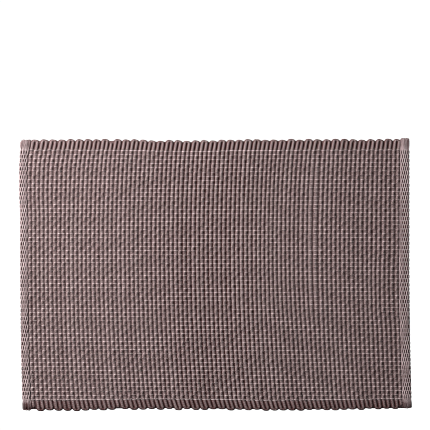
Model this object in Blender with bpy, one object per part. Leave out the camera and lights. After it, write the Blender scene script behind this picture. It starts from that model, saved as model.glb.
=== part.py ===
"""A heavy ribbed cotton placemat, 48 x 33 cm, lying flat.

Thick weft cords run across the mat's short way and show as ribs on both faces. Each cord turns back
at the edge into its neighbour, so the far and near edges are scalloped. The two short ends are plain
hems. The cloth was pulled a little while it was woven, so the ribs bow and the edges aren't straight.

The frame: X along the long side, Y towards the far edge, Z up, and the origin on the table under the
middle of the mat.
"""

import bmesh
import bpy
import numpy as np

MM = 0.001

# The whole mat.
LENGTH = 479.9 * MM  # over the hems, on the line where the ribs turn back
WIDTH = 332 * MM  # from the far edge to the near one, before the scallops
THICKNESS = 4.3 * MM  # over the ribs, from face to face
OFF_CENTRE = -0.95 * MM  # of that line, because the near edge is pulled to the right

# The ribs.
RIB_COUNT = 85
FIRST_RIB = -229.65 * MM
LAST_RIB = 223.65 * MM
RIB_PITCH = (LAST_RIB - FIRST_RIB) / (RIB_COUNT - 1)
RIB_DRIFT_MIDDLE = -1.8 * MM  # the ribs lie closer together at the left hem and further apart at the right
RIB_DRIFT_ENDS = 4.6 * MM
CREST_WIDTH = 0.40  # the flat top of a rib, as a share of the pitch
GROOVE_DEPTH = 1.3 * MM  # between two ribs, on each face
EDGE_THINNING = 0.7 * MM  # how much each face falls away at the far and near edges

# The turns of the cord at the edges.
SCALLOP = 1.5 * MM  # from the tip of a turn to the notch beside it
SPLICE_RIB = 18  # where one cord ends and the next begins, which shifts the pairs by one rib

# The hems.
HEM_HEIGHT = 3.5 * MM
HEM_ROUNDING = 1.6 * MM  # width of the slope at a hem's outer edge
HEM_EDGE_TOP = 2.4 * MM
HEM_EDGE_UNDER = 0.9 * MM
HEM_STEP = 1.2 * MM  # width of the slope from a hem down to the first groove

# How the ribs bow. Their ends lie to the right of their turning line, most of all at the near edge.
TURNING_LINE = 35 * MM
BOW_POWER = 2.1
FAR_BOW = 5.2 * MM
FAR_BOW_FALL = 0.9 * MM  # by how much it is less at the right end than in the middle
NEAR_BOW = 9.4 * MM
NEAR_BOW_FALL = 6.4 * MM  # by how much it is less at both hems

# Where a tight thread pulls the ribs aside: the place along and across the mat, how far the pull reaches
# to the left, to the right and across, and the shift.
PULLS = [
    dict(along=-225 * MM, across=125 * MM, left=25 * MM, right=25 * MM, half_width=40 * MM, shift=-1.5 * MM),
    dict(along=116 * MM, across=52 * MM, left=45 * MM, right=10 * MM, half_width=110 * MM, shift=-2.4 * MM),
    dict(along=212 * MM, across=-19 * MM, left=16 * MM, right=16 * MM, half_width=40 * MM, shift=-1.4 * MM),
]

# How the far and near edges wave.
FAR_DIP = 1.6 * MM
FAR_DIP_PLACE = -38 * MM
FAR_DIP_WIDTH = 55 * MM
NEAR_WAVE = 0.7 * MM
NEAR_WAVE_PLACE = -70 * MM
NEAR_WAVE_LENGTH = 300 * MM

# Lines of points across the ribs.
INNER_SPANS = 8
ROUNDING = 2.6 * MM  # from an edge to the line where a rib has its full height

COTTON_COLOUR = (0.235, 0.170, 0.168, 1.0)
COTTON_ROUGHNESS = 0.9


def clear_scene():
    for old in list(bpy.data.objects):
        bpy.data.objects.remove(old, do_unlink=True)


def rib_place(rib):
    """The middle of a rib along the mat; half a rib more is the groove on its right."""
    u = FIRST_RIB + rib * RIB_PITCH
    return u + RIB_DRIFT_MIDDLE + RIB_DRIFT_ENDS * (2 * u / LENGTH) ** 4


def bowed_x(u, y):
    """Where a point that was at u along the mat lies once the ribs have bowed, at height y."""
    s = u / (LENGTH / 2)
    far = (FAR_BOW - FAR_BOW_FALL * s) * (1 - s**6)
    near = NEAR_BOW - NEAR_BOW_FALL * s**4
    up = np.clip((y - TURNING_LINE) / (WIDTH / 2 - TURNING_LINE), 0, None)
    down = np.clip((TURNING_LINE - y) / (WIDTH / 2 + TURNING_LINE), 0, None)
    x = OFF_CENTRE + u + far * up**BOW_POWER + near * down**BOW_POWER
    for pull in PULLS:
        reach = pull["left"] if u < pull["along"] else pull["right"]
        across = (y - pull["across"]) / pull["half_width"]
        x = x + pull["shift"] * np.exp(-(((u - pull["along"]) / reach) ** 2) - across**4)
    return x


def far_edge(u):
    return WIDTH / 2 - FAR_DIP * np.exp(-(((u - FAR_DIP_PLACE) / FAR_DIP_WIDTH) ** 2))


def near_edge(u):
    return -WIDTH / 2 + NEAR_WAVE * np.cos(2 * np.pi * (u - NEAR_WAVE_PLACE) / NEAR_WAVE_LENGTH)


def turns_into_next(rib, at_far_edge):
    """Whether the cord of this rib turns into the rib on its right, at the far or the near edge.

    The cord goes up one rib and down the next, so a pair at one edge is parted at the other.
    """
    if rib < 0 or rib >= RIB_COUNT - 1 or (at_far_edge and rib == SPLICE_RIB):
        return False
    after_splice = rib >= SPLICE_RIB + (0 if at_far_edge else 1)
    return (rib % 2 == 0) == (at_far_edge != after_splice)


def scallop(rib, at_far_edge):
    """How far the edge stands out in the groove to the left of a rib: full in a turn, cut in beside it."""
    return SCALLOP * (0.4 if turns_into_next(rib - 1, at_far_edge) else -0.6)


def stations():
    """The lines of points along Y, from left to right.

    Each row is: place along the mat, height of the upper face, height of the under face, and how far
    the far and the near edge stand out there.
    """
    half = LENGTH / 2
    groove_top = THICKNESS - GROOVE_DEPTH
    first_groove = rib_place(-0.5)
    last_groove = rib_place(RIB_COUNT - 0.5)

    rows = [
        (-half, HEM_EDGE_TOP, HEM_EDGE_UNDER, -SCALLOP, -SCALLOP),
        (-half + HEM_ROUNDING, HEM_HEIGHT, 0, 0, 0),
        (first_groove - HEM_STEP, HEM_HEIGHT, 0, 0, 0),
    ]
    for rib in range(RIB_COUNT):
        far, near = scallop(rib, True), scallop(rib, False)
        rows.append((rib_place(rib - 0.5), groove_top, GROOVE_DEPTH, far, near))
        rows.append((rib_place(rib - CREST_WIDTH / 2), THICKNESS, 0, 0, 0))
        rows.append((rib_place(rib + CREST_WIDTH / 2), THICKNESS, 0, 0, 0))
    rows += [
        (last_groove, groove_top, GROOVE_DEPTH, -SCALLOP / 2, -SCALLOP / 2),
        (last_groove + HEM_STEP, HEM_HEIGHT, 0, 0, 0),
        (half - HEM_ROUNDING, HEM_HEIGHT, 0, 0, 0),
        (half, HEM_EDGE_TOP, HEM_EDGE_UNDER, -SCALLOP, -SCALLOP),
    ]
    return rows


def station_line(u, top, under, far_out, near_out):
    """The points of one station from the near edge to the far one: x, y, under height, upper height."""
    near, far = near_edge(u), far_edge(u)
    inner = np.linspace(near + ROUNDING, far - ROUNDING, INNER_SPANS + 1)
    y = np.concatenate([[near - near_out], inner, [far + far_out]])
    at_edge = np.zeros(len(y))
    at_edge[[0, -1]] = 1
    return np.column_stack(
        [bowed_x(u, y), y, under + EDGE_THINNING * at_edge, top - EDGE_THINNING * at_edge]
    )


def placemat_mesh():
    """The under face as a grid of faces, drawn up into a closed body whose top has its own heights."""
    lines = np.array([station_line(*row) for row in stations()])
    bm = bmesh.new()
    upper_height = bm.verts.layers.float.new("upper_height")
    grid = []
    for line in lines:
        verts = []
        for x, y, under, top in line:
            vert = bm.verts.new((x, y, under))
            vert[upper_height] = top
            verts.append(vert)
        grid.append(verts)
    for left, right in zip(grid, grid[1:]):
        for i in range(len(left) - 1):
            bm.faces.new((left[i], left[i + 1], right[i + 1], right[i]))

    raised = bmesh.ops.extrude_face_region(bm, geom=list(bm.faces))["geom"]
    for item in raised:
        if isinstance(item, bmesh.types.BMVert):
            item.co.z = item[upper_height]
    bm.verts.layers.float.remove(upper_height)
    bmesh.ops.recalc_face_normals(bm, faces=bm.faces)

    mesh = bpy.data.meshes.new("placemat")
    bm.to_mesh(mesh)
    bm.free()
    return mesh


def cotton_material():
    material = bpy.data.materials.new("mauve_cotton")
    material.use_nodes = True
    shader = material.node_tree.nodes["Principled BSDF"]
    shader.inputs["Base Color"].default_value = COTTON_COLOUR
    shader.inputs["Roughness"].default_value = COTTON_ROUGHNESS
    shader.inputs["Metallic"].default_value = 0.0
    return material


def build():
    clear_scene()
    mesh = placemat_mesh()
    mesh.materials.append(cotton_material())
    mesh.shade_smooth()
    mesh.set_sharp_from_angle(angle=np.radians(50))
    placemat = bpy.data.objects.new("placemat", mesh)
    bpy.context.scene.collection.objects.link(placemat)


build()
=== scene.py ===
import bpy
import numpy as np
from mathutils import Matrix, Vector


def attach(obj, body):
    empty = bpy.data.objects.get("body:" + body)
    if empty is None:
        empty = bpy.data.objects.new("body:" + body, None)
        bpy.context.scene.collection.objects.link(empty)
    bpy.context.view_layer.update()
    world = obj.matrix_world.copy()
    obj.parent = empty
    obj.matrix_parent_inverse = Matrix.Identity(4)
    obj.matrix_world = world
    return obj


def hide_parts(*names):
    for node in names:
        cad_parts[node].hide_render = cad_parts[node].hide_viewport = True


mm = 0.001
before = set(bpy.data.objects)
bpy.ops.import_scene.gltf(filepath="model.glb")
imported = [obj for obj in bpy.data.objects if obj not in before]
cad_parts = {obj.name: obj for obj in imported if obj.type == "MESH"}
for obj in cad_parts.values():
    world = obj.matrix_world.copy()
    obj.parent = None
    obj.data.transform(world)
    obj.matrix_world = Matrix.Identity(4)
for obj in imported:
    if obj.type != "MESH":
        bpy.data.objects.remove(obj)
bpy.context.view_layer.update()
print("frame loaded:", list(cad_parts))

# The cloth as it lay on the loom: u runs along the mat, v along the ribs.
cloth = dict(
    length=479.9 * mm,
    width=332 * mm,
    middle=1.95 * mm,  # height of the cloth's middle plane
    offCentre=-0.95 * mm,
    ribCount=85,
    firstRib=-229.65 * mm,
    lastRib=223.65 * mm,
    ribDriftMiddle=-1.8 * mm,  # the ribs lie closer together at the left hem than at the right one
    ribDriftEnds=4.6 * mm,
    rowCount=61,
    firstRow=153.5 * mm,  # the warp row nearest the far edge
    lastRow=-153.5 * mm,
    rowSag=1.0 * mm,  # how far the rows hang towards the near edge at mid-length
    turningLine=35 * mm,  # where the bowed ribs turn back
    bowPower=2.1,
    farBow=5.2 * mm,
    farBowFall=0.9 * mm,  # by how much it is less at the right end than in the middle
    nearBow=9.4 * mm,
    nearBowFall=6.4 * mm,  # by how much it is less at both hems
    farDip=2.0 * mm,
    farDipPlace=-38 * mm,
    farDipWidth=55 * mm,
    nearWave=0.7 * mm,
    nearWavePlace=-70 * mm,
    nearWaveLength=300 * mm,
    freeFrom=0.25,  # a yarn is free past this share of the way from the last row to the edge line
    leanPower=1.3,  # how the yarns lean aside on that way
    unevenLimit=1.6,  # in standard deviations, so that no turn stands far out
    seed=11,
)
# Where a tight thread pulls the cloth: the place, how far the pull reaches to the left, to the right and
# across, the shift to the right and the drop towards the near edge.
pulls = [
    dict(u=-225 * mm, y=118 * mm, left=20 * mm, right=32 * mm, across=36 * mm, shift=-1.5 * mm, drop=0),
    dict(u=-205 * mm, y=166 * mm, left=30 * mm, right=75 * mm, across=25 * mm, shift=1.6 * mm, drop=0),
    dict(u=116 * mm, y=52 * mm, left=50 * mm, right=10.5 * mm, across=110 * mm, shift=-2.2 * mm, drop=0),
    dict(u=212 * mm, y=-19 * mm, left=20 * mm, right=20 * mm, across=40 * mm, shift=-1.4 * mm, drop=0),
    dict(u=48 * mm, y=0, left=27 * mm, right=30 * mm, across=150 * mm, shift=0, drop=0.6 * mm),
    dict(u=-42 * mm, y=75 * mm, left=30 * mm, right=28 * mm, across=85 * mm, shift=0, drop=-0.75 * mm),
]
ribPitch = (cloth["lastRib"] - cloth["firstRib"]) / (cloth["ribCount"] - 1)
rowPitch = (cloth["firstRow"] - cloth["lastRow"]) / (cloth["rowCount"] - 1)
rng = np.random.default_rng(cloth["seed"])


def ribPlace(rib):
    # first + rib * pitch + middle + ends * s^4, where s runs from -1 to 1 along the mat
    u = cloth["firstRib"] + rib * ribPitch
    return u + cloth["ribDriftMiddle"] + cloth["ribDriftEnds"] * (2 * u / cloth["length"]) ** 4


def farEdge(u):
    # straight but for one soft dip: width / 2 - dip * exp(-((u - place) / dipWidth)^2)
    c = cloth
    return c["width"] / 2 - c["farDip"] * np.exp(-(((u - c["farDipPlace"]) / c["farDipWidth"]) ** 2))


def nearEdge(u):
    # a slow wave: -width / 2 + wave * cos(2 pi (u - place) / waveLength)
    c = cloth
    phase = 2 * np.pi * (u - c["nearWavePlace"]) / c["nearWaveLength"]
    return -c["width"] / 2 + c["nearWave"] * np.cos(phase)


def pulled(u, y, way):
    # the sum over the pulls of shift or drop * exp(-along^4 - across^4)
    total = 0.0
    for pull in pulls:
        along = (u - pull["u"]) / np.where(u < pull["u"], pull["left"], pull["right"])
        across = (y - pull["y"]) / pull["across"]
        total = total + pull[way] * np.exp(-(along**4) - across**4)
    return total


def bowedX(u, y):
    # x = u + bow * t^power, where t runs from 0 on the turning line to 1 at the far or near edge.
    # The far bow is (bow - fall * s) * (1 - s^6) and the near one bow - fall * s^4, with s as above.
    c = cloth
    s = u / (c["length"] / 2)
    far = (c["farBow"] - c["farBowFall"] * s) * (1 - s**6)
    near = c["nearBow"] - c["nearBowFall"] * s**4
    up = np.clip((y - c["turningLine"]) / (c["width"] / 2 - c["turningLine"]), 0, None)
    down = np.clip((c["turningLine"] - y) / (c["width"] / 2 + c["turningLine"]), 0, None)
    bowed = far * up ** c["bowPower"] + near * down ** c["bowPower"]
    return c["offCentre"] + u + bowed + pulled(u, y, "shift")


def onCloth(u, v, z):
    # points of the pulled cloth: v is stretched between the two edges, the rows sag and the ribs bow
    f = v / (cloth["width"] / 2)
    far, near = farEdge(u), nearEdge(u)
    sag = cloth["rowSag"] * (1 - (2 * u / cloth["length"]) ** 2) * np.clip(1 - f**2, 0, None)
    y = (far + near) / 2 + f * (far - near) / 2 - sag
    return np.stack(np.broadcast_arrays(bowedX(u, y), y - pulled(u, y, "drop"), z), axis=-1)


def drift(setting, rows, count, passes=1):
    # Smooth noise for each row: amount * random knots joined by t^2 (3 - 2t). A setting is the amount and
    # how many knots lie along one pass of the yarn.
    amount, knotsAPass = setting
    knots = knotsAPass * passes
    knotValues = rng.normal(size=(rows, knots + 1))
    t = np.linspace(0, knots - 1e-6, count)
    i = t.astype(int)
    f = (t - i) ** 2 * (3 - 2 * (t - i))
    return amount * (knotValues[:, i] * (1 - f) + knotValues[:, i + 1] * f)


def meshPiece(name, points, quads, caps, uv, shade, material):
    # An object at the origin: points (n, 3), quads (m, 4) and caps (k, sides), with one uv to a corner and
    # one shade to a point.
    mesh = bpy.data.meshes.new(name)
    corners = np.concatenate([quads.ravel(), caps.ravel()]).astype(np.int32)
    sizes = np.concatenate([np.full(len(quads), 4), np.full(len(caps), caps.shape[1])])
    starts = np.concatenate([[0], np.cumsum(sizes)[:-1]]).astype(np.int32)
    mesh.vertices.add(len(points))
    mesh.vertices.foreach_set("co", points.astype(np.float32).ravel())
    mesh.loops.add(len(corners))
    mesh.loops.foreach_set("vertex_index", corners)
    mesh.polygons.add(len(sizes))
    mesh.polygons.foreach_set("loop_start", starts)
    mesh.polygons.foreach_set("use_smooth", np.ones(len(sizes), dtype=bool))
    mesh.update(calc_edges=True)
    mesh.uv_layers.new(name="yarn").data.foreach_set("uv", uv.astype(np.float32).ravel())
    shades = mesh.attributes.new("shade", "FLOAT_VECTOR", "POINT")
    shades.data.foreach_set("vector", shade.astype(np.float32).ravel())
    mesh.materials.append(material)
    piece = bpy.data.objects.new(name, mesh)
    bpy.context.scene.collection.objects.link(piece)
    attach(piece, "root")
    print(f"  {name}: {2 * len(quads) + (caps.shape[1] - 2) * len(caps)} triangles")
    return piece


def signedPower(value, power):
    return np.sign(value) * np.abs(value) ** power


def unit(vectors):
    return vectors / (np.linalg.norm(vectors, axis=-1, keepdims=True) + 1e-12)


def sweep(
    name,
    centre,
    out,
    halfWidth,
    halfHeight,
    sides,
    material,
    power=1.0,
    tone=0.0,
    blush=0.0,
    flank=0.0,
):
    # Yarns as closed tubes round their centre lines (yarns, rings, 3), with out as the way off the cloth.
    # A ring's point at angle a is centre + across * w c + up * h s, where c and s are cos(a) and sin(a),
    # each raised to the power with its sign kept.
    yarns, rings, _ = centre.shape
    tangent = unit(np.gradient(centre, axis=1))
    across = unit(np.cross(tangent, np.broadcast_to(out, centre.shape)))
    up = np.cross(across, tangent)
    a = 2 * np.pi * np.arange(sides) / sides
    c = signedPower(np.cos(a), power)
    s = signedPower(np.sin(a), power)
    w, h = (np.broadcast_to(value, (yarns, rings))[..., None] for value in (halfWidth, halfHeight))
    aside = (w * c)[..., None] * across[:, :, None]
    above = (h * s)[..., None] * up[:, :, None]
    points = centre[:, :, None] + aside + above

    index = np.arange(yarns * rings * sides).reshape(yarns, rings, sides)
    nextSide = np.roll(index, -1, axis=2)
    corners = [index[:, :-1], index[:, 1:], nextSide[:, 1:], nextSide[:, :-1]]
    quads = np.stack(corners, axis=-1).reshape(-1, 4)
    caps = np.concatenate([index[:, 0], index[:, -1, ::-1]])

    lengths = np.cumsum(np.linalg.norm(np.diff(centre, axis=1), axis=2), axis=1)
    along = np.concatenate([np.zeros((yarns, 1)), lengths], axis=1)
    shape = (yarns, rings - 1, sides)
    u0 = np.broadcast_to(np.arange(sides) / sides, shape)
    v0 = np.broadcast_to(along[:, :-1, None], shape)
    v1 = np.broadcast_to(along[:, 1:, None], shape)
    u1 = u0 + 1 / sides
    uv = np.stack([u0, v0, u0, v1, u1, v1, u1, v0], axis=-1).reshape(-1, 2)
    uv = np.concatenate([uv, np.zeros((caps.size, 2))])
    shade = np.zeros((yarns, rings, sides, 3))
    for channel, value in enumerate((tone, blush, flank)):
        shade[..., channel] = np.broadcast_to(value, (yarns, rings))[..., None]
    return meshPiece(name, points.reshape(-1, 3), quads, caps, uv, shade.reshape(-1, 3), material)


def backAndForth(places, innerV, turn, leans, tipInsets):
    # One yarn that goes up one pass and down the next. A leg runs on past the last warp row, and in half a
    # turn, with p from 0 at the leg to 90 degrees at the tip, the yarn's middle follows
    # place + reach * (1 - cos(p)^k), leg + depth * sin(p)^k + arch * sin(p)^4. Past the row it leans aside
    # by lean * past^leanPower, and each turn is uneven by chance and drawn back by its inset.
    # Returns places, v, how far past the last row and how far into a turn each ring is, all
    # (passes, rings) and ordered from the near edge to the far one.
    passes = len(places)
    order = np.arange(passes)
    goesUp = order % 2 == 0
    half = np.diff(places) / 2
    toRight = np.append(half, 0)
    toLeft = np.append(0, -half)
    reach = dict(far=np.where(goesUp, toRight, toLeft), near=np.where(goesUp, toLeft, toRight))
    whichTurn = dict(far=np.where(goesUp, order + 1, order), near=np.where(goesUp, order, order + 1))

    p = np.pi / 2 * (np.arange(turn["steps"]) + 0.5) / turn["steps"]
    k = 2 / turn["squareness"]
    legSteps = turn["legSteps"]
    into = np.concatenate([np.zeros(legSteps), p / (np.pi / 2)])
    ends = {}
    for edge in ("near", "far"):
        chance = rng.normal(size=passes + 1).clip(-cloth["unevenLimit"], cloth["unevenLimit"])
        unevenness = turn[edge + "Uneven"] * chance - tipInsets[edge]
        tip = cloth["width"] / 2 + turn[edge + "Past"] - turn["tipWidth"]
        tip = tip + unevenness[whichTurn[edge]][:, None]
        tip = tip - np.where(reach[edge] == 0, turn["tuck"], 0)[:, None]
        leg = tip - turn["depth"] - turn["arch"]
        legV = cloth["firstRow"] + (leg - cloth["firstRow"]) * (np.arange(legSteps) + 1) / legSteps
        turnV = leg + turn["depth"] * np.sin(p) ** k + turn["arch"] * np.sin(p) ** 4
        v = np.concatenate([legV, turnV], axis=1)
        past = (v - cloth["firstRow"]) / (cloth["width"] / 2 - cloth["firstRow"])
        sideways = np.concatenate([np.zeros(legSteps), 1 - np.cos(p) ** k])
        ahead = np.concatenate([np.zeros(legSteps), np.sin(p)]) * (1 - sideways)
        v = v + turn[edge + "Skew"] * np.sign(reach[edge])[:, None] * ahead
        lean = leans[edge][:, None] * past ** cloth["leanPower"]
        q = places[:, None] + reach[edge][:, None] * sideways + lean
        ends[edge] = (q, v, past)
    inner = np.broadcast_to(innerV, (passes, len(innerV)))
    middleQ = np.broadcast_to(places[:, None], inner.shape)
    (nearQ, nearV, nearPast), (farQ, farV, farPast) = ends["near"], ends["far"]
    q = np.concatenate([nearQ[:, ::-1], middleQ, farQ], axis=1)
    v = np.concatenate([-nearV[:, ::-1], inner, farV], axis=1)
    past = np.concatenate([nearPast[:, ::-1], np.zeros(inner.shape), farPast], axis=1)
    turning = np.concatenate([into[::-1], np.zeros(len(innerV)), into])
    return q, v, past, np.broadcast_to(turning, q.shape)


def strung(values):
    # (passes, rings) as one row along the yarn: every other pass is walked the other way
    walked = values.copy()
    walked[1::2] = walked[1::2, ::-1]
    return walked.reshape(1, -1)


def intoTurn(value, leg, tip, free, atTip):
    # from the value in the weave to the free leg's, and from there to the tip's
    return value + (leg - value) * free + (tip - leg) * atTip


def betweenRows(ringsPerBand):
    # the rings' places along v, from the last warp row to the first
    return np.linspace(cloth["lastRow"], cloth["firstRow"], (cloth["rowCount"] - 1) * ringsPerBand + 1)


def bandWave(innerV, turn):
    # 0 on the warp rows and in the turns, 1 and -1 in the middle of the bands between the rows by turns
    padding = np.zeros(turn["steps"] + turn["legSteps"])
    wave = np.sin(np.pi * (cloth["firstRow"] - innerV) / rowPitch)
    return np.concatenate([padding, wave, padding])


def besideRow(piece, sign, c):
    # How far a thread of a pair lies beside its row's line: the pair offset where c is 1 or -1, and the
    # pass offset where c is 0 and the two pass each other. The side changes from row to row.
    rows = np.arange(cloth["rowCount"])[:, None]
    order = np.where(rows % 2 == 0, 1, -1) * sign
    return order * (piece["pairOffset"] + (piece["passOffset"] - piece["pairOffset"]) * (1 - np.abs(c)))


def socketGroup(name, inputs, outputs):
    # an empty shader node group with these named inputs and outputs, and its two end nodes
    group = bpy.data.node_groups.new(name, "ShaderNodeTree")
    for label, kind, value in inputs:
        socket = group.interface.new_socket(label, in_out="INPUT", socket_type=kind)
        if value is not None:
            socket.default_value = value
    for label, kind in outputs:
        group.interface.new_socket(label, in_out="OUTPUT", socket_type=kind)
    return group, group.nodes.new("NodeGroupInput"), group.nodes.new("NodeGroupOutput")


def math(tree, operation, *values):
    # a Math node on sockets or plain numbers
    node = tree.nodes.new("ShaderNodeMath")
    node.operation = operation
    for socket, value in zip(node.inputs, values):
        if isinstance(value, bpy.types.NodeSocket):
            tree.links.new(value, socket)
        else:
            socket.default_value = value
    return node.outputs[0]


def mixColour(tree, factor, first, second):
    # a Mix node on two colours, each a socket or a plain (r, g, b)
    node = tree.nodes.new("ShaderNodeMix")
    node.data_type = "RGBA"
    tree.links.new(factor, node.inputs[0])
    for socket, value in zip(node.inputs[6:8], (first, second)):
        if isinstance(value, bpy.types.NodeSocket):
            tree.links.new(value, socket)
        else:
            socket.default_value = (*value, 1)
    return node.outputs[2]


spinning = dict(
    fibresAcross=7.0,  # over one strand
    fibreDetail=3.0,
    fibreRoughness=0.65,
    basePaleness=0.25,
    fibreContrast=0.8,
    # painted shade: the strands are paler on their tops and darker in the grooves between them
    strandGrooveShade=0.35,
    strandMean=0.64,  # of the relief, so that the strands leave the overall paleness as it is
    fibreHeight=0.6,  # against 1 for a strand
)


def spunCottonGroup():
    # Strands wound round a yarn: relief = |sin(pi (turns * length - plies * round))|, fibres lie along
    # them, and crest = |sin(2 pi round)| is 1 on the yarn's outer side and 0 on its flanks, which are
    # painted dark as shade. Paleness = (tone + fibres + strands) * smoothstep of the crest between flank
    # and crest, where shade's third value widens the flank. The strands' share paints shade into the
    # grooves between them.
    group, start, end = socketGroup(
        "spunCotton",
        [
            ("Round and length", "NodeSocketVector", None),
            ("Tone, blush and flank", "NodeSocketVector", None),
            ("Turns per metre", "NodeSocketFloat", 390.0),
            ("Plies", "NodeSocketFloat", 3.0),
            ("Fibres per metre", "NodeSocketFloat", 2500.0),
            ("Flank", "NodeSocketFloat", 0.2),
            ("Crest", "NodeSocketFloat", 0.8),
        ],
        [("Paleness", "NodeSocketFloat"), ("Blush", "NodeSocketFloat"), ("Height", "NodeSocketFloat")],
    )
    link = group.links.new
    place = group.nodes.new("ShaderNodeSeparateXYZ")
    link(start.outputs["Round and length"], place.inputs[0])
    shade = group.nodes.new("ShaderNodeSeparateXYZ")
    link(start.outputs["Tone, blush and flank"], shade.inputs[0])
    wound = math(group, "MULTIPLY", place.outputs["Y"], start.outputs["Turns per metre"])
    turned = math(group, "MULTIPLY", place.outputs["X"], start.outputs["Plies"])
    phase = math(group, "SUBTRACT", wound, turned)
    relief = math(group, "ABSOLUTE", math(group, "SINE", math(group, "MULTIPLY", phase, np.pi)))
    roundAngle = math(group, "MULTIPLY", place.outputs["X"], 2 * np.pi)
    crest = math(group, "ABSOLUTE", math(group, "SINE", roundAngle))

    combine = group.nodes.new("ShaderNodeCombineXYZ")
    link(math(group, "MULTIPLY", phase, spinning["fibresAcross"]), combine.inputs["X"])
    fibreLength = math(group, "MULTIPLY", place.outputs["Y"], start.outputs["Fibres per metre"])
    link(fibreLength, combine.inputs["Y"])
    fibres = group.nodes.new("ShaderNodeTexNoise")
    fibres.inputs["Scale"].default_value = 1.0
    fibres.inputs["Detail"].default_value = spinning["fibreDetail"]
    fibres.inputs["Roughness"].default_value = spinning["fibreRoughness"]
    link(combine.outputs[0], fibres.inputs["Vector"])

    fibre = fibres.outputs["Fac"]
    pale = math(group, "MULTIPLY_ADD", fibre, spinning["fibreContrast"], spinning["basePaleness"])
    pale = math(group, "ADD", pale, shade.outputs["X"])
    strand = math(group, "SUBTRACT", relief, spinning["strandMean"])
    pale = math(group, "MULTIPLY_ADD", strand, spinning["strandGrooveShade"], pale)
    # painted shade on the flanks: the paleness fades to dark as the crest falls towards the flank value
    flankShade = group.nodes.new("ShaderNodeMapRange")
    flankShade.interpolation_type = "SMOOTHSTEP"
    link(crest, flankShade.inputs["Value"])
    link(math(group, "ADD", start.outputs["Flank"], shade.outputs["Z"]), flankShade.inputs["From Min"])
    link(start.outputs["Crest"], flankShade.inputs["From Max"])
    link(math(group, "MULTIPLY", pale, flankShade.outputs["Result"]), end.inputs["Paleness"])
    link(math(group, "ADD", shade.outputs["Y"], 0.5), end.inputs["Blush"])
    link(math(group, "MULTIPLY_ADD", fibre, spinning["fibreHeight"], relief), end.inputs["Height"])
    return group


spunCotton = spunCottonGroup()


def cottonYarn(name, dark, pinkish, greyish, roughness, turns, plies, flank, crest, relief):
    # cotton with painted shade: dark in its depths and flanks, pale on its crests; pinker or greyer from
    # place to place
    material = bpy.data.materials.new(name)
    material.use_nodes = True
    tree = material.node_tree
    nodes = tree.nodes
    link = tree.links.new
    shader = nodes["Principled BSDF"]
    shader.inputs["Roughness"].default_value = roughness
    shader.inputs["Specular IOR Level"].default_value = 0.15
    shader.inputs["Sheen Weight"].default_value = 0.04
    shader.inputs["Sheen Roughness"].default_value = 0.5

    uvMap = nodes.new("ShaderNodeUVMap")
    uvMap.uv_map = "yarn"
    shade = nodes.new("ShaderNodeAttribute")
    shade.attribute_name = "shade"
    cotton = nodes.new("ShaderNodeGroup")
    cotton.node_tree = spunCotton
    link(uvMap.outputs[0], cotton.inputs["Round and length"])
    link(shade.outputs["Vector"], cotton.inputs["Tone, blush and flank"])
    cotton.inputs["Turns per metre"].default_value = turns
    cotton.inputs["Plies"].default_value = plies
    cotton.inputs["Flank"].default_value = flank
    cotton.inputs["Crest"].default_value = crest

    pale = mixColour(tree, cotton.outputs["Blush"], greyish, pinkish)
    link(mixColour(tree, cotton.outputs["Paleness"], dark, pale), shader.inputs["Base Color"])
    bump = nodes.new("ShaderNodeBump")
    bump.inputs["Strength"].default_value = 1.0
    bump.inputs["Distance"].default_value = relief
    link(cotton.outputs["Height"], bump.inputs["Height"])
    link(bump.outputs["Normal"], shader.inputs["Normal"])
    return material


cordCotton = cottonYarn(
    "mauveCord",
    dark=(0.06, 0.018, 0.017),
    pinkish=(0.375, 0.275, 0.275),
    greyish=(0.34, 0.265, 0.26),
    roughness=0.9,
    turns=390,
    plies=3,
    flank=0.14,
    crest=1.0,
    relief=0.15 * mm,
)
threadCotton = cottonYarn(
    "paleThread",
    dark=(0.20, 0.11, 0.11),
    pinkish=(0.91, 0.77, 0.775),
    greyish=(0.87, 0.75, 0.74),
    roughness=0.8,
    turns=1000,
    plies=2,
    flank=-1.0,
    crest=0.3,
    relief=0.05 * mm,
)
hemCotton = cottonYarn(
    "mauveThread",
    dark=(0.055, 0.018, 0.017),
    pinkish=(0.61, 0.455, 0.46),
    greyish=(0.56, 0.45, 0.455),
    roughness=0.9,
    turns=700,
    plies=2,
    flank=0.1,
    crest=0.8,
    relief=0.08 * mm,
)

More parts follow.
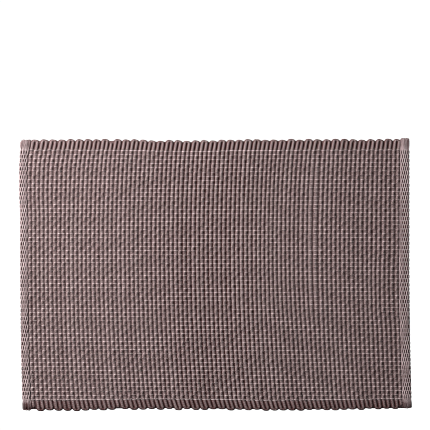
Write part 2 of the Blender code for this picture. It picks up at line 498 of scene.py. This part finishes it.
cord = dict(
    sides=10,
    ringsPerBand=4,
    heldWidth=2.2 * mm,  # half width and half height where a warp row holds the cord
    heldHeight=1.28 * mm,
    upWidth=1.95 * mm,  # in a band where it rides up, it is round and narrow
    upHeight=1.92 * mm,
    downWidth=2.8 * mm,  # in a band where the rows press it down, it spreads
    downHeight=1.42 * mm,
    upFlank=-1.3,  # how much narrower its painted flank shade is there
    downFlank=-0.5,
    upLift=0.49 * mm,
    downLift=0.49 * mm,
    wavePower=0.7,  # below 1, the cord stays up or down for most of a band
    easePower=0.8,  # the same for its section
    sectionPower=1.2,  # 1 is an ellipse, more is steeper at the crest
    spliceRib=18,  # one cord ends here and the next begins
    cutAfter=33,  # ribs after which the second cord goes on as another piece
    bandShift=0.3 * mm,  # to the left between the warp rows
    zigzag=0.15 * mm,  # and further where it rides up, less where it is pressed down
    sideDrift=(0.14 * mm, 45),
    widthDrift=(0.03, 60),
    heightDrift=(0.05, 60),
    toneByRib=(0.05, 2),
    toneByBand=(0.05, 70),
    blushByRib=(0.2, 3),
    flatRibs=(65, 66),  # two cords that overlap here were beaten flat, side by side
    flatMiddle=50 * mm,
    flatHalf=88 * mm,
    flatPower=8,  # how suddenly the flat place ends
    flatLevelling=0.7,  # how much of their rise and fall they lose there
    flatWidth=3.0 * mm,
    flatHeight=1.5 * mm,
    flatFlank=-0.25,
    turn=dict(
        steps=5,
        legSteps=3,
        legWidth=2.66 * mm,  # past the last row the cord is free and round
        legHeight=1.8 * mm,
        farFlank=0.45,  # how much wider its painted flank shade is there
        nearFlank=0.5,
        # painted light on the turns: the far ones paler and the near ones darker, as the light falls from
        # the far side
        farPaintedLight=0.2,
        nearPaintedLight=-0.1,
        tipWidth=1.5 * mm,
        tipHeight=1.5 * mm,
        # painted shade on the tips of the turns
        tipPaintedShade=-0.4,
        farPast=0.8 * mm,  # how far the tip of a turn stands past the edge line
        nearPast=0.6 * mm,
        nearInset=1.2 * mm,  # how much less it does at the right hem
        insetFrom=0.24,  # where that begins and how far on it is full, in lengths of the mat
        insetOver=0.2,
        depth=1.8 * mm,
        arch=0.7 * mm,
        squareness=3.0,  # 2 is half an ellipse
        farSkew=0.5 * mm,  # how much further the left side of a turn stands out than the right one
        nearSkew=0.0,
        tuck=2.5 * mm,  # how far a cord's end is pulled in
        farUneven=0.4 * mm,
        nearUneven=0.6 * mm,
        farLean=1.1 * mm,  # how far the turns lean to the right
        nearLean=2.7 * mm,
        nearLeanFall=0.7,
    ),
)


def leansAt(s):
    # at the near edge lean * (1 - fall * s^2), where s runs from -1 to 1 along the mat
    turn = cord["turn"]
    return dict(far=turn["farLean"] + 0 * s, near=turn["nearLean"] * (1 - turn["nearLeanFall"] * s**2))


def makeCords():
    # Along a rib z = middle + lift * up, where up = parity * wave^wavePower is 1 in one band and -1 in the
    # next, and the cord moves to the left by bandShift * |up| + zigzag * up. Its section eases from the
    # held one on a warp row to the full one between rows.
    c = cord
    turn = c["turn"]
    innerV = betweenRows(c["ringsPerBand"])
    wave = bandWave(innerV, turn)
    splice = c["spliceRib"] + 1
    pieces = []
    for first, last, cuts in ((0, splice, ()), (splice, cloth["ribCount"], (c["cutAfter"],))):
        ribs = np.arange(first, last)
        places = ribPlace(ribs)
        turnPlaces = ribPlace(np.arange(first, last + 1) - 0.5) / cloth["length"]
        inset = turn["nearInset"] * np.clip((turnPlaces - turn["insetFrom"]) / turn["insetOver"], 0, 1)
        leans = leansAt(2 * places / cloth["length"])
        q, v, past, turning = backAndForth(places, innerV, turn, leans, dict(far=0.0, near=inset))
        parity = np.where(ribs % 2 == 0, -1, 1)[:, None]
        isUp = np.clip(parity * wave, 0, 1) ** c["easePower"]
        isDown = np.clip(-parity * wave, 0, 1) ** c["easePower"]
        held = 1 - isUp - isDown
        free = np.clip(past / cloth["freeFrom"], 0, 1)
        atTip = turning**2
        width = c["heldWidth"] * held + c["upWidth"] * isUp + c["downWidth"] * isDown
        height = c["heldHeight"] * held + c["upHeight"] * isUp + c["downHeight"] * isDown
        width = intoTurn(width, turn["legWidth"], turn["tipWidth"], free, atTip)
        height = intoTurn(height, turn["legHeight"], turn["tipHeight"], free, atTip)
        inFlatPlace = np.exp(-(((v - c["flatMiddle"]) / c["flatHalf"]) ** c["flatPower"]))
        flat = inFlatPlace * np.isin(ribs, c["flatRibs"])[:, None]
        width = width + (c["flatWidth"] - width) * flat
        height = height + (c["flatHeight"] - height) * flat
        # Painted shade: the flank value widens or narrows the dark flanks where the cord rides up, is
        # pressed down, lies flat or runs free.
        flank = (c["upFlank"] * isUp + c["downFlank"] * isDown) * (1 - free) * (1 - flat)
        flank = flank + c["flatFlank"] * flat
        flank = flank + np.where(v > 0, turn["farFlank"], turn["nearFlank"]) * free
        # Painted light: the far turns paler, the near ones darker and the tips darker still.
        turnPaintedLight = np.where(v > 0, turn["farPaintedLight"], turn["nearPaintedLight"]) * free + turn["tipPaintedShade"] * turning
        q, v, free, width, height, flank, turnPaintedLight = (
            strung(values) for values in (q, v, free, width, height, flank, turnPaintedLight)
        )
        up = strung(signedPower(parity * wave, c["wavePower"]) * (1 - c["flatLevelling"] * flat))
        count, passes = q.size, len(ribs)
        shift = drift(c["sideDrift"], 1, count, passes) - c["bandShift"] * np.abs(up) - c["zigzag"] * up
        q = q + shift * (1 - free)
        width = width * (1 + drift(c["widthDrift"], 1, count, passes))
        up = up * (1 + drift(c["heightDrift"], 1, count, passes))
        tone = drift(c["toneByRib"], 1, count, passes) + drift(c["toneByBand"], 1, count, passes)
        tone = tone + turnPaintedLight
        blush = drift(c["blushByRib"], 1, count, passes)
        lift = np.where(up > 0, c["upLift"], c["downLift"])
        centre = onCloth(q, v, cloth["middle"] + lift * up)
        rings = count // passes
        starts = [0] + [cut * rings - 1 for cut in cuts]
        ends = [cut * rings for cut in cuts] + [count]
        for start, end in zip(starts, ends):
            span = (slice(None), slice(start, end))
            pieces.append(
                sweep(
                    f"weft_cord_{len(pieces) + 1}",
                    centre[span],
                    (0, 0, 1),
                    width[span],
                    height[span],
                    c["sides"],
                    cordCotton,
                    power=c["sectionPower"],
                    tone=tone[span],
                    blush=blush[span],
                    flank=flank[span],
                )
            )
    return pieces


warp = dict(
    sides=4,
    ringsPerRib=4,
    radius=0.46 * mm,
    overCord=1.65 * mm,  # height of a thread's middle above the cloth's middle where it crosses a cord
    crossingPower=0.7,
    gapShade=0.6,  # painted shade: how much darker the threads are between the cords
    outerGapShade=0.1,  # the same on the first and the last row, which nothing presses into the gaps
    pairOffset=0.06 * mm,
    passOffset=0.36 * mm,  # sideways, where the two threads pass each other between two ribs
    rowWander=(0.06 * mm, 30),
    threadWander=(0.03 * mm, 80),
    toneDrift=(0.06, 100),
    blushDrift=(0.3, 8),
)


def makeWarp():
    # A pair on each row line, one over the even ribs and one over the odd: with c = cos(pi * rib),
    # z = middle + over * c^power, v moves aside by the pass offset where c is 0, and the threads are
    # painted darker by gapShade * (1 - c^2), as the shade between the cords.
    w = warp
    count = cloth["ribCount"] * w["ringsPerRib"] + 1
    ribs = np.arange(count) / w["ringsPerRib"] - 0.5
    u = ribPlace(ribs)
    c = np.round(np.cos(np.pi * ribs), 6)  # an exact 0 between two ribs
    rows = np.arange(cloth["rowCount"])[:, None]
    v = cloth["firstRow"] - rows * rowPitch + drift(w["rowWander"], cloth["rowCount"], count)
    isOuter = (rows == 0) | (rows == cloth["rowCount"] - 1)
    gapShade = np.where(isOuter, w["outerGapShade"], w["gapShade"])
    pieces = []
    for thread, sign in enumerate((1, -1)):
        vAt = v + besideRow(w, sign, c) + drift(w["threadWander"], cloth["rowCount"], count)
        z = cloth["middle"] + sign * w["overCord"] * signedPower(c, w["crossingPower"])
        # painted shade where the threads dive between the cords
        tone = drift(w["toneDrift"], cloth["rowCount"], count) - gapShade * (1 - c**2)
        blush = drift(w["blushDrift"], cloth["rowCount"], count)
        pieces.append(
            sweep(
                f"warp_threads_{thread + 1}",
                onCloth(np.broadcast_to(u, vAt.shape), vAt, z),
                (0, 0, 1),
                w["radius"],
                w["radius"],
                w["sides"],
                threadCotton,
                tone=tone,
                blush=blush,
            )
        )
    return pieces


ground = dict(
    halfThickness=0.3 * mm,
    inset=1.0 * mm,
    endInset=3.5 * mm,
    stepsAlong=96,
    stepsAcross=66,
    # painted shade: the sheet is as dark as the depths between the cords
    tone=-0.5,
)


def makeGround():
    # a sheet through the middle of the cloth, which closes the gaps between the cords and is painted
    # dark as the shade deep in them: two grids of points joined round their rim
    g = ground
    halfLength = cloth["length"] / 2 - g["endInset"]
    halfWidth = cloth["width"] / 2 - g["inset"]
    u = np.linspace(-halfLength, halfLength, g["stepsAlong"] + 1)
    v = np.linspace(-halfWidth, halfWidth, g["stepsAcross"] + 1)
    uu, vv = np.meshgrid(u, v, indexing="ij")
    top = onCloth(uu, vv, cloth["middle"] + g["halfThickness"])
    under = onCloth(uu, vv, cloth["middle"] - g["halfThickness"])
    points = np.concatenate([top.reshape(-1, 3), under.reshape(-1, 3)])
    index = np.arange(uu.size).reshape(uu.shape)
    corners = [index[:-1, :-1], index[1:, :-1], index[1:, 1:], index[:-1, 1:]]
    cells = np.stack(corners, axis=-1).reshape(-1, 4)
    rim = np.concatenate([index[:-1, 0], index[-1, :-1], index[:0:-1, -1], index[0, :0:-1]])
    after = np.roll(rim, -1)
    walls = np.stack([rim, rim + uu.size, after + uu.size, after], axis=-1)
    quads = np.concatenate([cells, cells[:, ::-1] + uu.size, walls])
    shade = np.zeros((len(points), 3))
    shade[:, 0] = g["tone"]
    noCaps = np.zeros((0, 3), dtype=int)
    return meshPiece("gap_shade_sheet", points, quads, noCaps, points[quads.ravel(), :2], shade, hemCotton)


hem = dict(
    topHeight=2.95 * mm,  # middle of the threads on the upper face
    underHeight=1.0 * mm,
    corner=3.5 * mm,  # radius of the rounded corners
    ringsPerBand=3,
    sides=6,
    halfWidth=1.0 * mm,
    halfHeight=0.45 * mm,
    lift=0.45 * mm,
    wavePower=0.5,  # below 1, a thread stays up or down for most of a band
    foldLift=0.35 * mm,  # how much more on the fold, where the threads bulge out
    puff=0.35 * mm,  # how much the upper face bulges
    foldFlank=-0.5,
    slitThreads=4,  # over how many threads from the ribs the slits' painted shade reaches its full depth
    downWidth=0.6,  # how much of its width a thread keeps where it lies under
    toneDrift=(0.12, 60),
    blushDrift=(0.3, 4),
    warpSides=4,
    warpRadius=0.36 * mm,
    warpOver=0.42 * mm,
    warpOut=0.12 * mm,  # the middle of a warp pair lies this far out of the fold
    pairOffset=0.10 * mm,
    passOffset=0.35 * mm,
    warpTone=-0.2,
    warpToneDrift=(0.06, 12),
    turn=dict(
        steps=2,
        legSteps=2,
        legWidth=1.6 * mm,  # the free ends of the threads close up to a smooth block
        legHeight=0.3 * mm,
        legFlank=-0.6,
        # painted shade on the free thread ends, deeper at the near edge
        farPaintedLight=-0.35,
        nearPaintedLight=-0.55,
        tipWidth=0.9 * mm,
        depth=0.9 * mm,
        arch=0.0,
        squareness=2.0,
        tuck=0.5 * mm,
        farSkew=0.0,
        nearSkew=0.0,
        farUneven=0.15 * mm,
        nearUneven=0.25 * mm,
    ),
)
# What differs between the left hem and the right one, which lies further out at its far end.
hemSides = {
    -1: dict(
        inner=-231.0 * mm,  # where the hem meets the first rib
        threadPitch=1.38 * mm,
        farPast=0.4 * mm,
        nearPast=0.4 * mm,
        innerSlit=0.45,  # the painted shade of the slits is weaker beside the ribs, by this factor
        underPaintedShade=0.95,  # painted shade: how much darker a thread is where it lies under
        paintedPaleness=0.0,
    ),
    1: dict(
        inner=228.3 * mm,
        threadPitch=1.28 * mm,
        farPast=2.3 * mm,
        nearPast=-0.8 * mm,
        innerSlit=0.0,
        underPaintedShade=1.45,
        # painted light: the right hem is made paler, to make up for the dimmer light it gets
        paintedPaleness=0.1,
    ),
}
hemRadius = (hem["topHeight"] - hem["underHeight"]) / 2


def foldLine(side, q):
    # Along the fold: flat on top, half a circle round the outer edge, flat underneath.
    # Returns u, z and the way out (nu, nz) at each length q, and the whole length.
    outer = side * (cloth["length"] / 2 - hemRadius - hem["halfHeight"] - hem["lift"])
    flat = abs(outer - hemSides[side]["inner"])
    angle = np.clip((q - flat) / hemRadius, 0, np.pi)
    u = outer + side * (np.minimum(q - flat, 0) + hemRadius * np.sin(angle))
    u = u - side * np.maximum(q - flat - np.pi * hemRadius, 0)
    z = (hem["topHeight"] + hem["underHeight"]) / 2 + hemRadius * np.cos(angle)
    z = z + hem["puff"] * (1 - (2 * np.clip(q / flat, 0, 1) - 1) ** 2)
    return u, z, side * np.sin(angle), np.cos(angle), 2 * flat + np.pi * hemRadius


def onFold(side, q, v, out):
    # points and ways out of the folded hem
    u, z, nu, nz, _ = foldLine(side, q)
    ways = np.stack(np.broadcast_arrays(nu, 0 * v, nz), axis=-1)
    return onCloth(u + nu * out, v, z + nz * out), ways


def makeHem(side, name):
    # Fine weft threads along the fold, each lifted out or in by turns, and warp pairs over and under them.
    # At the corners the tips draw back by radius * (1 - sqrt(1 - t^2)), where t is 1 at the outer edge.
    h = hem
    own = hemSides[side]
    total = foldLine(side, np.zeros(1))[4]
    threads = 2 * int(total / own["threadPitch"] / 2 + 1)  # even: the fold lies between two threads
    places = np.linspace(0, total, threads)
    innerV = betweenRows(h["ringsPerBand"])
    turn = dict(h["turn"], farPast=own["farPast"], nearPast=own["nearPast"])
    leans = {edge: side * lean * np.cos(np.pi * places / total) for edge, lean in leansAt(side).items()}
    turnPlaces = np.concatenate([places[:1], (places[1:] + places[:-1]) / 2, places[-1:]])
    intoCorner = (np.abs(foldLine(side, turnPlaces)[0]) - cloth["length"] / 2) / h["corner"] + 1
    rounding = h["corner"] * (1 - np.sqrt(1 - np.clip(intoCorner, 0, 1) ** 2))
    q, v, past, turning = backAndForth(places, innerV, turn, leans, dict(far=rounding, near=rounding))
    wave = signedPower(bandWave(innerV, turn), h["wavePower"])
    parity = np.where(np.arange(threads) % 2 == 0, 1, -1)[:, None]
    free = np.clip(past / cloth["freeFrom"], 0, 1)
    width = h["halfWidth"] * (1 - (1 - h["downWidth"]) * np.clip(-parity * wave, 0, 1))
    width = intoTurn(width, turn["legWidth"], turn["tipWidth"], free, turning)
    height = h["halfHeight"] + (turn["legHeight"] - h["halfHeight"]) * free
    # painted shade on the free ends of the threads, deeper at the near edge
    block = np.where(v > 0, turn["farPaintedLight"], turn["nearPaintedLight"]) * free
    q, v, free, width, height, wave, block = (
        strung(values) for values in (q, v, free, width, height, parity * wave, block)
    )
    onEdge = np.abs(foldLine(side, q)[2])
    centre, ways = onFold(side, q, v, (h["lift"] + h["foldLift"] * onEdge) * wave)
    fromRibs = np.clip(q * threads / total / h["slitThreads"], 0, 1)
    slit = own["innerSlit"] + (1 - own["innerSlit"]) * fromRibs
    tone = drift(h["toneDrift"], 1, q.size, threads) + block + own["paintedPaleness"]
    # painted shade in the slits, where a thread lies under its neighbours
    tone = tone - own["underPaintedShade"] * slit * np.clip(-wave, 0, 1)
    blush = drift(h["blushDrift"], 1, q.size, threads)
    weft = sweep(
        f"{name}_weft",
        centre,
        ways,
        width,
        height,
        h["sides"],
        hemCotton,
        tone=tone,
        blush=blush,
        # legFlank and foldFlank narrow the painted flank shade on the free ends and on the fold
        flank=turn["legFlank"] * free + h["foldFlank"] * onEdge,
    )

    steps = np.arange(2 * (threads - 1) + 1) / 2
    across = steps * places[1]
    c = np.cos(np.pi * steps)
    rows = np.arange(cloth["rowCount"])[:, None]
    lines = []
    for sign in (1, -1):
        vAt = cloth["firstRow"] - rows * rowPitch + besideRow(h, sign, c)
        out = h["warpOut"] + sign * h["warpOver"] * c
        lines.append(onFold(side, np.broadcast_to(across, vAt.shape), vAt, out))
    centre, ways = (np.concatenate(parts) for parts in zip(*lines))
    pairs = sweep(
        f"{name}_warp",
        centre,
        ways,
        h["warpRadius"],
        h["warpRadius"],
        h["warpSides"],
        threadCotton,
        tone=h["warpTone"] + drift(h["warpToneDrift"], len(centre), centre.shape[1]),
    )
    return [weft, pairs]


print("weaving")
cords = makeCords()
threads = makeWarp()
groundPiece = makeGround()
hems = makeHem(-1, "left_hem") + makeHem(1, "right_hem")
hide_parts("placemat")

stage = dict(
    floorSize=4.0,
    floorBelow=0.2 * mm,  # just under the lowest warp threads
    floorColour=(0.8, 0.8, 0.8, 1),
    floorGlow=1.05,  # how bright the camera sees it
    lens=100,
    cameraPlace=(-0.6 * mm, 73.6 * mm, 1.474),
    pixelFilter=0.9,
    keyPlace=(-0.93, 0.72, 0.46),
    keySize=1.3,
    keyPower=50,
    fillPlace=(-0.8, 0.9, 1.6),
    fillSize=2.0,
    fillPower=8,
    worldStrength=0.02,
)


def makeFloor():
    half = stage["floorSize"] / 2
    z = -stage["floorBelow"]
    mesh = bpy.data.meshes.new("floor")
    corners = [(-half, -half, z), (half, -half, z), (half, half, z), (-half, half, z)]
    mesh.from_pydata(corners, [], [(0, 1, 2, 3)])
    material = bpy.data.materials.new("whitePaper")
    material.use_nodes = True
    nodes = material.node_tree.nodes
    link = material.node_tree.links.new
    shader = nodes["Principled BSDF"]
    shader.inputs["Base Color"].default_value = stage["floorColour"]
    shader.inputs["Roughness"].default_value = 0.9
    glow = nodes.new("ShaderNodeEmission")
    glow.inputs["Strength"].default_value = stage["floorGlow"]
    lightPath = nodes.new("ShaderNodeLightPath")
    mix = nodes.new("ShaderNodeMixShader")
    link(lightPath.outputs["Is Camera Ray"], mix.inputs["Fac"])
    link(shader.outputs[0], mix.inputs[1])
    link(glow.outputs[0], mix.inputs[2])
    link(mix.outputs[0], nodes["Material Output"].inputs["Surface"])
    mesh.materials.append(material)
    floor = bpy.data.objects.new("floor", mesh)
    bpy.context.scene.collection.objects.link(floor)


def makeLight(name, place, size, power):
    # a square soft light, turned towards the middle of the mat
    light = bpy.data.lights.new(name, "AREA")
    light.size = size
    light.energy = power
    lamp = bpy.data.objects.new(name, light)
    lamp.location = place
    lamp.rotation_euler = (-Vector(place)).to_track_quat("-Z", "Y").to_euler()
    bpy.context.scene.collection.objects.link(lamp)


def makeWorld():
    world = bpy.data.worlds.new("studio")
    world.use_nodes = True
    background = world.node_tree.nodes["Background"]
    background.inputs["Color"].default_value = (1, 1, 1, 1)
    background.inputs["Strength"].default_value = stage["worldStrength"]
    bpy.context.scene.world = world


def makeCamera():
    camera = bpy.data.cameras.new("camera")
    camera.lens = stage["lens"]
    camera.clip_end = 20
    cameraObject = bpy.data.objects.new("camera", camera)
    cameraObject.location = stage["cameraPlace"]
    bpy.context.scene.collection.objects.link(cameraObject)
    bpy.context.scene.camera = cameraObject


makeFloor()
makeLight("key", stage["keyPlace"], stage["keySize"], stage["keyPower"])
makeLight("fill", stage["fillPlace"], stage["fillSize"], stage["fillPower"])
makeWorld()
makeCamera()
bpy.context.scene.view_settings.view_transform = "Standard"
bpy.context.scene.cycles.filter_width = stage["pixelFilter"]
print("stage set")
